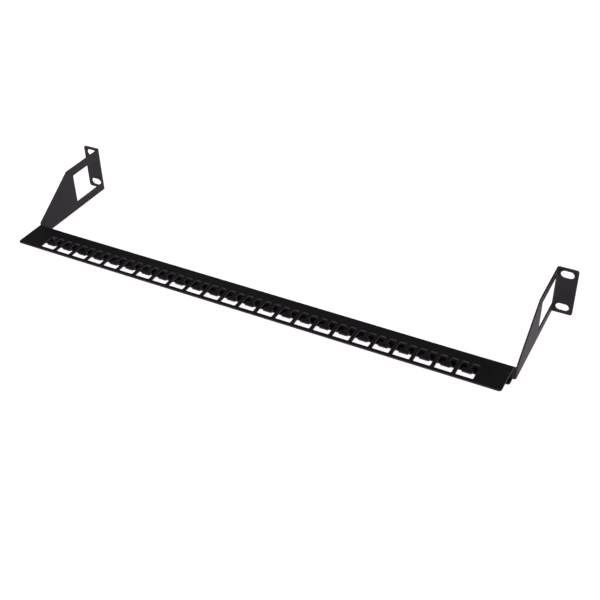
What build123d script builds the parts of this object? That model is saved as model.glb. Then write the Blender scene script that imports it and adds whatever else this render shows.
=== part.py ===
from build123d import *
import os

# Rear cable support bar for a 24-port, one-rack-unit patch panel.
#
# Two brackets stand the bar off the rack rails.  Each one is a slotted rack ear, folded into
# an arm with a window, folded again into a short flange that is riveted to the back wall of
# the bar.  The bar is a channel, open to the front.  Its top plate has one opening for each
# port, and a T-shaped tongue in each opening holds the cable tie for that port's cable.
#
# Frame, in millimetres: origin at the centre of the four ear slots, on the face of the ears
# that bears on the rack rail.  +X runs along the bar, +Z is up, and the bar stands off in -Y.

# Rack interface
RACK_UNIT = 44.45
EAR_CLEARANCE = 0.85  # one rack unit, less the gap left between neighbours
EAR_HEIGHT = RACK_UNIT - EAR_CLEARANCE
OVERALL_WIDTH = 482.6
SLOT_PITCH_X = 465.1
SLOT_PITCH_Z = 31.75
SLOT_LENGTH = 11.0
SLOT_HEIGHT = 6.8
EAR_CORNER_RADIUS = 2.0

# Sheet metal
SHEET = 1.2
INSIDE_BEND = 0.6
OUTSIDE_BEND = INSIDE_BEND + SHEET
BAR_INSIDE_BEND = 0.8
BAR_OUTSIDE_BEND = BAR_INSIDE_BEND + SHEET

# Arms: the outer faces just pass between the rails
ARM_OUTER_X = 225.0
ARM_LEVEL_LENGTH = 48.3  # from the ear to where the top edge starts to slope
STAND_OFF = 95.0  # from the ear's bearing face to the back face of the bar
WINDOW_LENGTH = 40.8
WINDOW_TOP_Z = 13.9
WINDOW_BOTTOM_Z = -14.4
WINDOW_CORNER_RADIUS = 1.0
FLANGE_END_X = 198.0
FLANGE_CORNER_RADIUS = 1.5

# Bar
BAR_LENGTH = 445.2
BAR_DEPTH = 31.1
BAR_TOP_Z = -8.6
LIP_DEPTH = 7.8
BAR_CORNER_RADIUS = 2.5
LIP_CORNER_RADIUS = 2.0

# Tie openings
PORT_COUNT = 24
PORT_PITCH = 16.8
OPENING_WIDTH = 13.7
OPENING_DEPTH = 16.7
OPENING_BACK_Y = -106.1
OPENING_CORNER_RADIUS = 0.6
NECK_WIDTH = 3.2
NECK_LENGTH = 7.1
HEAD_WIDTH = 8.0
HEAD_DEPTH = 4.3
HEAD_CORNER_RADIUS = 0.8

# Blind rivets, two in each joint
RIVET_XS = (204.5, 216.0)
RIVET_RADIUS = 1.65
RIVET_FLANGE_RADIUS = 3.3
RIVET_FLANGE_HEIGHT = 1.1
RIVET_DIMPLE_DEPTH = 0.3
BULB_RADIUS = 2.4
BULB_LENGTH = 3.2
BULB_ROUND = 0.7
MANDREL_RADIUS = 0.95
MANDREL_HEAD_RADIUS = 1.6
MANDREL_HEAD_LENGTH = 1.3
MANDREL_HEAD_CHAMFER = 0.35

# Places that follow from the dimensions above
BOTTOM_Z = -EAR_HEIGHT / 2
BAR_BACK_Y = -STAND_OFF
BAR_FRONT_Y = BAR_BACK_Y - BAR_DEPTH
LIP_FRONT_Y = BAR_BACK_Y - LIP_DEPTH
FLANGE_TOP_Z = BAR_TOP_Z - BAR_OUTSIDE_BEND
BEND_START_Y = BAR_BACK_Y + OUTSIDE_BEND
RIVET_Z = (FLANGE_TOP_Z + BOTTOM_Z) / 2
RIVET_HEAD_Y = BAR_BACK_Y + SHEET
BAR_WALL_FRONT_Y = BAR_BACK_Y - SHEET


def make_cable_bar():
    """The channel, with its tie openings, tongues and rivet holes."""
    with BuildPart() as bar:
        with BuildSketch(Plane.YZ):
            with BuildLine():
                skin = FilletPolyline(
                    (BAR_FRONT_Y, BAR_TOP_Z),
                    (BAR_BACK_Y, BAR_TOP_Z),
                    (BAR_BACK_Y, BOTTOM_Z),
                    (LIP_FRONT_Y, BOTTOM_Z),
                    radius=BAR_OUTSIDE_BEND,
                )
                offset(skin, amount=SHEET, side=Side.RIGHT)
            make_face()
        extrude(amount=BAR_LENGTH / 2, both=True)

        upright_edges = bar.edges().filter_by(Axis.Z)
        fillet(upright_edges.group_by(Axis.Y)[0], BAR_CORNER_RADIUS)
        lip_edges = bar.edges().filter_by(Axis.Z).filter_by_position(
            Axis.Y, LIP_FRONT_Y - SHEET, LIP_FRONT_Y + SHEET
        )
        fillet(lip_edges, LIP_CORNER_RADIUS)

        with BuildSketch(Plane.XY.offset(BAR_TOP_Z)):
            with Locations((0, OPENING_BACK_Y)):
                with GridLocations(PORT_PITCH, 0, PORT_COUNT, 1):
                    add(make_opening())
        extrude(amount=-BAR_OUTSIDE_BEND, mode=Mode.SUBTRACT)

        with BuildSketch(Plane.XZ.offset(STAND_OFF)):
            with Locations(*rivet_places(1), *rivet_places(-1)):
                Circle(RIVET_RADIUS)
        extrude(amount=SHEET, mode=Mode.SUBTRACT)
    return bar.part


def make_opening():
    """The outline of one tie opening round its tongue, hung from the middle of its back edge."""
    with BuildSketch() as opening:
        Rectangle(OPENING_WIDTH, OPENING_DEPTH, align=(Align.CENTER, Align.MAX))
        fillet(opening.vertices(), OPENING_CORNER_RADIUS)
        with BuildSketch(mode=Mode.SUBTRACT) as tongue:
            Rectangle(NECK_WIDTH, NECK_LENGTH, align=(Align.CENTER, Align.MAX))
            with Locations((0, -NECK_LENGTH)):
                Rectangle(HEAD_WIDTH, HEAD_DEPTH, align=(Align.CENTER, Align.MAX))
            head_corners = tongue.vertices().group_by(Axis.X)
            fillet(head_corners[0] + head_corners[-1], HEAD_CORNER_RADIUS)
    return opening.sketch


def rivet_places(side):
    """The (x, z) points of one joint's rivets; side is 1 for the right and -1 for the left."""
    return [(side * x, RIVET_Z) for x in RIVET_XS]


def make_right_bracket():
    """Ear, arm and flange, folded from one strip."""
    with BuildPart() as bracket:
        # The strip's plan, full height
        with BuildSketch(Plane.XY.offset(BOTTOM_Z)):
            with BuildLine():
                rail_side = FilletPolyline(
                    (OVERALL_WIDTH / 2, 0),
                    (ARM_OUTER_X, 0),
                    (ARM_OUTER_X, BAR_BACK_Y),
                    (FLANGE_END_X, BAR_BACK_Y),
                    radius=(INSIDE_BEND, OUTSIDE_BEND),
                )
                offset(rail_side, amount=SHEET, side=Side.RIGHT)
            make_face()
        extrude(amount=EAR_HEIGHT)

        # The slope of the arm's top edge, and the lower flange behind the bar
        with BuildSketch(Plane.YZ):
            with BuildLine():
                Polyline(
                    (-ARM_LEVEL_LENGTH, EAR_HEIGHT / 2),
                    (BEND_START_Y, BAR_TOP_Z),
                    (BEND_START_Y, FLANGE_TOP_Z),
                    (BAR_FRONT_Y, FLANGE_TOP_Z),
                    (BAR_FRONT_Y, EAR_HEIGHT / 2),
                    close=True,
                )
            make_face()
        extrude(amount=OVERALL_WIDTH, mode=Mode.SUBTRACT)

        # The window runs from the arm into the bend, and stops level with the ear's bearing face
        window_height = WINDOW_TOP_Z - WINDOW_BOTTOM_Z
        with BuildSketch(Plane.YZ):
            with Locations((0, WINDOW_BOTTOM_Z)):
                Rectangle(WINDOW_LENGTH, window_height, align=(Align.MAX, Align.MIN))
        extrude(amount=ARM_OUTER_X + INSIDE_BEND, mode=Mode.SUBTRACT)
        window_corners = bracket.edges().filter_by(Axis.X).filter_by_position(
            Axis.Y, -WINDOW_LENGTH - INSIDE_BEND, -WINDOW_LENGTH + INSIDE_BEND
        )
        fillet(window_corners, WINDOW_CORNER_RADIUS)

        # Ear slots and corners
        with BuildSketch(Plane.XZ):
            with Locations((SLOT_PITCH_X / 2, 0)):
                with GridLocations(0, SLOT_PITCH_Z, 1, 2):
                    SlotOverall(SLOT_LENGTH, SLOT_HEIGHT)
        extrude(amount=-SHEET, mode=Mode.SUBTRACT)
        fillet(bracket.edges().filter_by(Axis.Y).group_by(Axis.X)[-1], EAR_CORNER_RADIUS)

        # Flange end and rivet holes
        fillet(bracket.edges().filter_by(Axis.Y).group_by(Axis.X)[0], FLANGE_CORNER_RADIUS)
        with BuildSketch(Plane.XZ.offset(-RIVET_HEAD_Y)):
            with Locations(*rivet_places(1)):
                Circle(RIVET_RADIUS)
        extrude(amount=SHEET, mode=Mode.SUBTRACT)
    return bracket.part


def make_left_bracket():
    """The right bracket's mirror image."""
    with BuildPart() as bracket:
        mirror(make_right_bracket(), about=Plane.YZ)
    return bracket.part


def rivet_axis(x):
    """Plane whose Z runs along a rivet towards the back, from the back face of the flange."""
    return Plane(origin=(x, RIVET_HEAD_Y, RIVET_Z), x_dir=(1, 0, 0), z_dir=(0, 1, 0))


def rivet_section(x):
    """Half-section plane of a rivet: its first axis is the radius, its second runs backwards."""
    return Plane(origin=(x, RIVET_HEAD_Y, RIVET_Z), x_dir=(1, 0, 0), z_dir=(0, 0, 1))


def make_rivet_body(x):
    """Set rivet: a domed head behind the flange and a swollen tail inside the channel."""
    grip = 2 * SHEET
    tail_end = -grip - BULB_LENGTH
    with BuildPart() as body:
        with BuildSketch(rivet_section(x)):
            with BuildLine():
                rim = (RIVET_FLANGE_RADIUS, 0)
                crown = (MANDREL_RADIUS, RIVET_FLANGE_HEIGHT)
                dome_edge = (RIVET_FLANGE_RADIUS, 0.25 * RIVET_FLANGE_HEIGHT)
                Line((MANDREL_RADIUS, tail_end), crown)
                TangentArc(crown, dome_edge, tangent=(1, 0))
                Polyline(
                    dome_edge,
                    rim,
                    (RIVET_RADIUS, 0),
                    (RIVET_RADIUS, -grip),
                    (BULB_RADIUS, -grip),
                    (BULB_RADIUS, tail_end),
                    (MANDREL_RADIUS, tail_end),
                )
            make_face()
        revolve(axis=Axis((x, RIVET_HEAD_Y, RIVET_Z), (0, 1, 0)))
        tail_rims = body.edges().filter_by(GeomType.CIRCLE).group_by(Axis.Y)
        fillet(tail_rims[0].sort_by(SortBy.RADIUS)[-1], BULB_ROUND)
    return body.part


def make_rivet_mandrel(x):
    """The pin left in a set rivet: its head is behind the tail, its broken end in the dome."""
    tail_end = -2 * SHEET - BULB_LENGTH
    stem_end = RIVET_FLANGE_HEIGHT - RIVET_DIMPLE_DEPTH
    with BuildPart() as mandrel:
        with BuildSketch(rivet_axis(x).offset(tail_end)):
            Circle(MANDREL_RADIUS)
        extrude(amount=stem_end - tail_end)
        with BuildSketch(rivet_axis(x).offset(tail_end)):
            Circle(MANDREL_HEAD_RADIUS)
        extrude(amount=-MANDREL_HEAD_LENGTH)
        head_rim = mandrel.edges().filter_by(GeomType.CIRCLE).group_by(Axis.Y)[0]
        chamfer(head_rim, MANDREL_HEAD_CHAMFER)
    return mandrel.part


pieces = {
    "cable_bar": make_cable_bar(),
    "left_bracket": make_left_bracket(),
    "right_bracket": make_right_bracket(),
}
for side_name, side in (("left", -1), ("right", 1)):
    for place, rivet_x in zip(("inner", "outer"), RIVET_XS):
        pieces[f"{side_name}_{place}_rivet_body"] = make_rivet_body(side * rivet_x)
        pieces[f"{side_name}_{place}_rivet_mandrel"] = make_rivet_mandrel(side * rivet_x)

os.makedirs("parts", exist_ok=True)
for name, piece in pieces.items():
    piece.label = name
    export_step(piece, f"parts/{name}.step")
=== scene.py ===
"""Looks for the cable support bar.

Finishes, rounded edges, floor, light and camera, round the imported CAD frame.
"""
import math

import bpy
from mathutils import Matrix, Vector


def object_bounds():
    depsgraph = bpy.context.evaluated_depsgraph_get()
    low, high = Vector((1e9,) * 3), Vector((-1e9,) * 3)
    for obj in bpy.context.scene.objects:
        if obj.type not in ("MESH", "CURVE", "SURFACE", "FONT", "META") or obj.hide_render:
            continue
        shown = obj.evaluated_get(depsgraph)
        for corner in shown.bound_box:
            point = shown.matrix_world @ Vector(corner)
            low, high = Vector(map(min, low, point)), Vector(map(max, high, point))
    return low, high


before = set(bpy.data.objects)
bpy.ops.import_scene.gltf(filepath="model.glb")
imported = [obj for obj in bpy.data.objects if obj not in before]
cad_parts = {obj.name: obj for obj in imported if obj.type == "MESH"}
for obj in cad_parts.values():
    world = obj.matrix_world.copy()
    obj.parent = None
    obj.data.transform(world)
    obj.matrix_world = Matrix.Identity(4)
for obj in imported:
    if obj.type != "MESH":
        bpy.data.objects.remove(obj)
cad_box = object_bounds()

MM = 0.001

# Camera: where it looks, from where, and how far it is tipped
CAMERA_TARGET = Vector((0.0340, -0.0775, -0.0218))
CAMERA_DISTANCE = 0.8275
CAMERA_AZIMUTH = 28.32
CAMERA_ELEVATION = 36.81
CAMERA_ROLL = -1.33
CAMERA_LENS = 59.61
SENSOR_WIDTH = 36.0

# Edges: the coating rounds every cut edge of the sheet
COATED_EDGE = 0.16 * MM
RIVET_EDGE = 0.06 * MM
EDGE_SEGMENTS = 2
SHARP_ANGLE = math.radians(32)
WELD_DISTANCE = 0.002 * MM
FACE_AREA_WEIGHT = 100

# Studio: WALL_TOP and CEILING_EDGE are sines of the elevation; between them the light falls off
WALL_TOP = 0.12
CEILING_EDGE = 0.30
WALL_LIGHT = 1.03
CEILING_LIGHT = 0.08
FLOOR_LIGHT = 0.96
FLOOR_SIZE = 40.0
FLOOR_GLOW = (1.0, 0.93, 0.99)
WHITE = (1.0, 1.0, 1.0)

# Lights: name, place, width in metres and power in watts
LIGHTS = (
    ("overhead", (-0.62, -1.0, 1.15), 1.1, 3.6),
    ("front_left", (-1.2, -1.3, 0.9), 1.0, 2.0),
    ("right", (1.5, 0.2, 0.8), 1.0, 2.0),
)
LIGHT_TARGET = (0, -0.06, 0)

# Materials: colours, as linear light
COAT_DARK = (0.0165, 0.0145, 0.0168)
COAT_PALE = (0.0215, 0.0190, 0.0220)
COAT_DUST = (0.055, 0.053, 0.058)
# Paler coat on the cut faces: partly worn coat, partly a painted highlight where the rounded cut
# edges catch light
COAT_RUBBED_AND_HIGHLIGHT = (0.060, 0.054, 0.060)
COAT_TINT = (1.0, 0.90, 0.99)
RIVET_DARK = (0.020, 0.020, 0.021)
RIVET_PALE = (0.034, 0.034, 0.036)
RIVET_WORN = (0.20, 0.20, 0.21)
MANDREL_DARK = (0.016, 0.016, 0.017)
MANDREL_PALE = (0.028, 0.028, 0.030)
MANDREL_WORN = (0.09, 0.09, 0.095)
FLOOR_DARK = (0.93, 0.93, 0.93)
FLOOR_PALE = (0.96, 0.96, 0.96)

# Sockets of a Mix node that blends colours
MIX_COLOURS = (6, 7)
MIX_RESULT = 2

# Materials: widths of the bands that the edge finders look at, and their samples
SHEET_REACH = 1.1 * MM
RIVET_WEAR = 0.18 * MM
MANDREL_WEAR = 0.15 * MM
CUT_FACE_SAMPLES = 8
WORN_EDGE_SAMPLES = 6


# ---------------------------------------------------------------- node helpers

class Nodes:
    """A material's node tree, with short calls for what the materials below use."""

    def __init__(self, name):
        self.material = bpy.data.materials.new(name)
        self.material.use_nodes = True
        self.tree = self.material.node_tree
        self.shader = self.tree.nodes["Principled BSDF"]
        self.place = self.tree.nodes.new("ShaderNodeTexCoord").outputs["Object"]

    def link(self, source, target):
        self.tree.links.new(source, target)

    def noise(self, scale, detail=4.0, roughness=0.5, stretch=None):
        """Noise in object space; scale is in features per metre."""
        node = self.tree.nodes.new("ShaderNodeTexNoise")
        node.inputs["Scale"].default_value = scale
        node.inputs["Detail"].default_value = detail
        node.inputs["Roughness"].default_value = roughness
        self.link(self.mapped(stretch) if stretch else self.place, node.inputs["Vector"])
        return node.outputs["Fac"]

    def cells(self, scale):
        """Distance to the nearest of many scattered points, in object space."""
        node = self.tree.nodes.new("ShaderNodeTexVoronoi")
        node.inputs["Scale"].default_value = scale
        self.link(self.place, node.inputs["Vector"])
        return node.outputs["Distance"]

    def mapped(self, stretch):
        """Object space, scaled by stretch."""
        node = self.tree.nodes.new("ShaderNodeMapping")
        node.inputs["Scale"].default_value = stretch
        self.link(self.place, node.inputs["Vector"])
        return node.outputs["Vector"]

    def spread(self, value, low, high, to_low=0.0, to_high=1.0):
        """Maps low..high to to_low..to_high, and holds it there outside."""
        node = self.tree.nodes.new("ShaderNodeMapRange")
        for name, number in (("From Min", low), ("From Max", high),
                             ("To Min", to_low), ("To Max", to_high)):
            node.inputs[name].default_value = number
        self.link(value, node.inputs["Value"])
        return node.outputs["Result"]

    def math(self, operation, a, b):
        """Two sockets or numbers, joined by a math operation."""
        node = self.tree.nodes.new("ShaderNodeMath")
        node.operation = operation
        for socket, value in zip(node.inputs, (a, b)):
            if isinstance(value, (int, float)):
                socket.default_value = value
            else:
                self.link(value, socket)
        return node.outputs["Value"]

    def mix(self, factor, a, b):
        """Blends two colours, each a tuple or a socket."""
        node = self.tree.nodes.new("ShaderNodeMix")
        node.data_type = "RGBA"
        self.link(factor, node.inputs["Factor"])
        for socket, value in zip((node.inputs[i] for i in MIX_COLOURS), (a, b)):
            if isinstance(value, tuple):
                socket.default_value = (*value, 1.0)
            else:
                self.link(value, socket)
        return node.outputs[MIX_RESULT]

    def bump(self, height, strength, distance, normal=None):
        """A bumped normal, on top of another if one is given."""
        node = self.tree.nodes.new("ShaderNodeBump")
        node.inputs["Strength"].default_value = strength
        node.inputs["Distance"].default_value = distance
        self.link(height, node.inputs["Height"])
        if normal:
            self.link(normal, node.inputs["Normal"])
        return node.outputs["Normal"]

    def cut_faces(self, reach, low, high):
        """1 on the sheet's cut faces and 0 on its flats.

        Rays sent inwards from a flat run free within reach; many from a cut face meet the flats.
        """
        inside = self.tree.nodes.new("ShaderNodeAmbientOcclusion")
        inside.inside = True
        inside.only_local = True
        inside.samples = CUT_FACE_SAMPLES
        inside.inputs["Distance"].default_value = reach
        return self.spread(inside.outputs["AO"], high, low)

    def worn_edges(self, radius, low, high):
        """1 within radius of an edge and 0 on flats, from how far a rounded normal turns."""
        rounded = self.tree.nodes.new("ShaderNodeBevel")
        rounded.samples = WORN_EDGE_SAMPLES
        rounded.inputs["Radius"].default_value = radius
        geometry = self.tree.nodes.new("ShaderNodeNewGeometry")
        dot = self.tree.nodes.new("ShaderNodeVectorMath")
        dot.operation = "DOT_PRODUCT"
        self.link(rounded.outputs["Normal"], dot.inputs[0])
        self.link(geometry.outputs["Normal"], dot.inputs[1])
        return self.spread(dot.outputs["Value"], high, low)


# ---------------------------------------------------------------- materials

def powder_coat():
    """Satin black powder coat: orange peel, a fine grain, faint handling marks, dust specks, and
    paler cut faces that are partly worn coat and partly a painted highlight.
    """
    m = Nodes("black_powder_coat")
    patches = m.spread(m.noise(55.0, 3.0), 0.35, 0.7)
    grain = m.noise(2600.0, 2.0)
    coat = m.mix(patches, COAT_DARK, COAT_PALE)
    specks = m.spread(m.cells(170.0), 0.035, 0.02)
    rare = m.spread(m.noise(38.0, 2.0), 0.58, 0.66)
    dust = m.math("MULTIPLY", specks, rare)
    coat = m.mix(dust, coat, COAT_DUST)
    # Cut faces paler: partly worn coat, partly a painted highlight in place of the light that the
    # rounded cut edges catch
    edge = m.cut_faces(SHEET_REACH, 0.67, 0.79)
    rubbed_and_highlight = m.math("MULTIPLY", edge, m.spread(m.noise(420.0, 4.0), 0.3, 0.7, 0.6, 1.0))
    coat = m.mix(rubbed_and_highlight, coat, COAT_RUBBED_AND_HIGHLIGHT)
    m.link(coat, m.shader.inputs["Base Color"])
    smears = m.spread(m.noise(24.0, 5.0, 0.6, (1.0, 3.0, 2.0)), 0.3, 0.75, 0.54, 0.64)
    rough = m.math("ADD", smears, m.spread(grain, 0.3, 0.7, -0.03, 0.03))
    m.link(rough, m.shader.inputs["Roughness"])
    peel = m.bump(m.noise(520.0, 2.0), 0.35, 0.05 * MM)
    m.link(m.bump(grain, 0.5, 0.012 * MM, peel), m.shader.inputs["Normal"])
    m.shader.inputs["Specular IOR Level"].default_value = 0.20
    m.shader.inputs["Specular Tint"].default_value = (*COAT_TINT, 1.0)
    return m.material


def rivet_finish():
    """Black anodised aluminium, uneven in tone, with paler wear on its edges."""
    m = Nodes("black_anodised")
    patches = m.spread(m.noise(900.0, 4.0), 0.3, 0.7)
    skin = m.mix(patches, RIVET_DARK, RIVET_PALE)
    skin = m.mix(m.worn_edges(RIVET_WEAR, 0.86, 0.99), skin, RIVET_WORN)
    m.link(skin, m.shader.inputs["Base Color"])
    m.link(m.spread(patches, 0.0, 1.0, 0.30, 0.42), m.shader.inputs["Roughness"])
    m.link(m.bump(m.noise(3500.0, 3.0), 0.3, 0.01 * MM), m.shader.inputs["Normal"])
    m.shader.inputs["Metallic"].default_value = 0.6
    return m.material


def mandrel_finish():
    """Black phosphated steel: dark, rough, and a little paler on its edges."""
    m = Nodes("black_phosphated_steel")
    patches = m.spread(m.noise(1400.0, 5.0, 0.6), 0.3, 0.7)
    skin = m.mix(patches, MANDREL_DARK, MANDREL_PALE)
    skin = m.mix(m.worn_edges(MANDREL_WEAR, 0.86, 0.99), skin, MANDREL_WORN)
    m.link(skin, m.shader.inputs["Base Color"])
    m.link(m.spread(patches, 0.0, 1.0, 0.45, 0.6), m.shader.inputs["Roughness"])
    m.link(m.bump(m.noise(2800.0, 5.0, 0.7), 0.6, 0.03 * MM), m.shader.inputs["Normal"])
    m.shader.inputs["Metallic"].default_value = 0.5
    return m.material


def floor_finish():
    """Pale matt board, very slightly uneven in tone."""
    m = Nodes("pale_floor")
    tone = m.spread(m.noise(3.0, 3.0), 0.3, 0.7)
    m.link(m.mix(tone, FLOOR_DARK, FLOOR_PALE), m.shader.inputs["Base Color"])
    m.shader.inputs["Roughness"].default_value = 0.9
    m.shader.inputs["Specular IOR Level"].default_value = 0.1
    m.shader.inputs["Emission Color"].default_value = (*FLOOR_GLOW, 1.0)
    m.shader.inputs["Emission Strength"].default_value = FLOOR_LIGHT
    return m.material


def dress(node, material, edge_width):
    """Gives a CAD node its finish, and rounds its sharp edges by edge_width."""
    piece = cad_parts[node]
    piece.data.materials.clear()
    piece.data.materials.append(material)
    weld = piece.modifiers.new("weld", "WELD")
    weld.merge_threshold = WELD_DISTANCE
    bevel = piece.modifiers.new("coated_edges", "BEVEL")
    bevel.width = edge_width
    bevel.segments = EDGE_SEGMENTS
    bevel.limit_method = "ANGLE"
    bevel.angle_limit = SHARP_ANGLE
    even = piece.modifiers.new("even_normals", "WEIGHTED_NORMAL")
    even.mode = "FACE_AREA"
    even.weight = FACE_AREA_WEIGHT
    even.keep_sharp = True


def dress_frame():
    coat, rivet, mandrel = powder_coat(), rivet_finish(), mandrel_finish()
    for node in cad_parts:
        if node.endswith("_mandrel"):
            dress(node, mandrel, RIVET_EDGE)
        elif node.endswith("_rivet_body"):
            dress(node, rivet, RIVET_EDGE)
        else:
            dress(node, coat, COATED_EDGE)


# ---------------------------------------------------------------- stage

def add_floor(height):
    bpy.ops.mesh.primitive_plane_add(size=FLOOR_SIZE, location=(0, 0, height))
    floor = bpy.context.object
    floor.name = "floor"
    floor.data.materials.append(floor_finish())


def add_light(name, place, size, power):
    """A square soft light that faces the object."""
    data = bpy.data.lights.new(name, "AREA")
    data.size = size
    data.energy = power
    light = bpy.data.objects.new(name, data)
    light.location = place
    aim = Vector(LIGHT_TARGET) - Vector(place)
    light.rotation_euler = aim.to_track_quat("-Z", "Y").to_euler()
    bpy.context.collection.objects.link(light)


def add_world():
    """White walls all round, up to about 7 degrees, that fade to a dim ceiling at about 17."""
    world = bpy.data.worlds.new("studio")
    world.use_nodes = True
    tree = world.node_tree
    background = tree.nodes["Background"]
    background.inputs["Color"].default_value = (*WHITE, 1.0)
    direction = tree.nodes.new("ShaderNodeTexCoord")
    height = tree.nodes.new("ShaderNodeSeparateXYZ")
    strength = tree.nodes.new("ShaderNodeMapRange")
    for name, number in (("From Min", WALL_TOP), ("From Max", CEILING_EDGE),
                         ("To Min", WALL_LIGHT), ("To Max", CEILING_LIGHT)):
        strength.inputs[name].default_value = number
    tree.links.new(direction.outputs["Generated"], height.inputs["Vector"])
    tree.links.new(height.outputs["Z"], strength.inputs["Value"])
    tree.links.new(strength.outputs["Result"], background.inputs["Strength"])
    bpy.context.scene.world = world


def add_camera():
    """Looks at CAMERA_TARGET from the stated azimuth and elevation."""
    azimuth, elevation = math.radians(CAMERA_AZIMUTH), math.radians(CAMERA_ELEVATION)
    back = Vector((math.sin(azimuth) * math.cos(elevation),
                   -math.cos(azimuth) * math.cos(elevation),
                   math.sin(elevation)))
    data = bpy.data.cameras.new("camera")
    data.lens = CAMERA_LENS
    data.sensor_width = SENSOR_WIDTH
    camera = bpy.data.objects.new("camera", data)
    roll = Matrix.Rotation(math.radians(CAMERA_ROLL), 3, "Z")
    turn = (-back).to_track_quat("-Z", "Y").to_matrix() @ roll
    camera.matrix_world = Matrix.Translation(CAMERA_TARGET + back * CAMERA_DISTANCE) @ turn.to_4x4()
    bpy.context.collection.objects.link(camera)
    bpy.context.scene.camera = camera


dress_frame()
add_floor(cad_box[0].z)
for light in LIGHTS:
    add_light(*light)
add_world()
add_camera()
bpy.context.scene.view_settings.view_transform = "Standard"
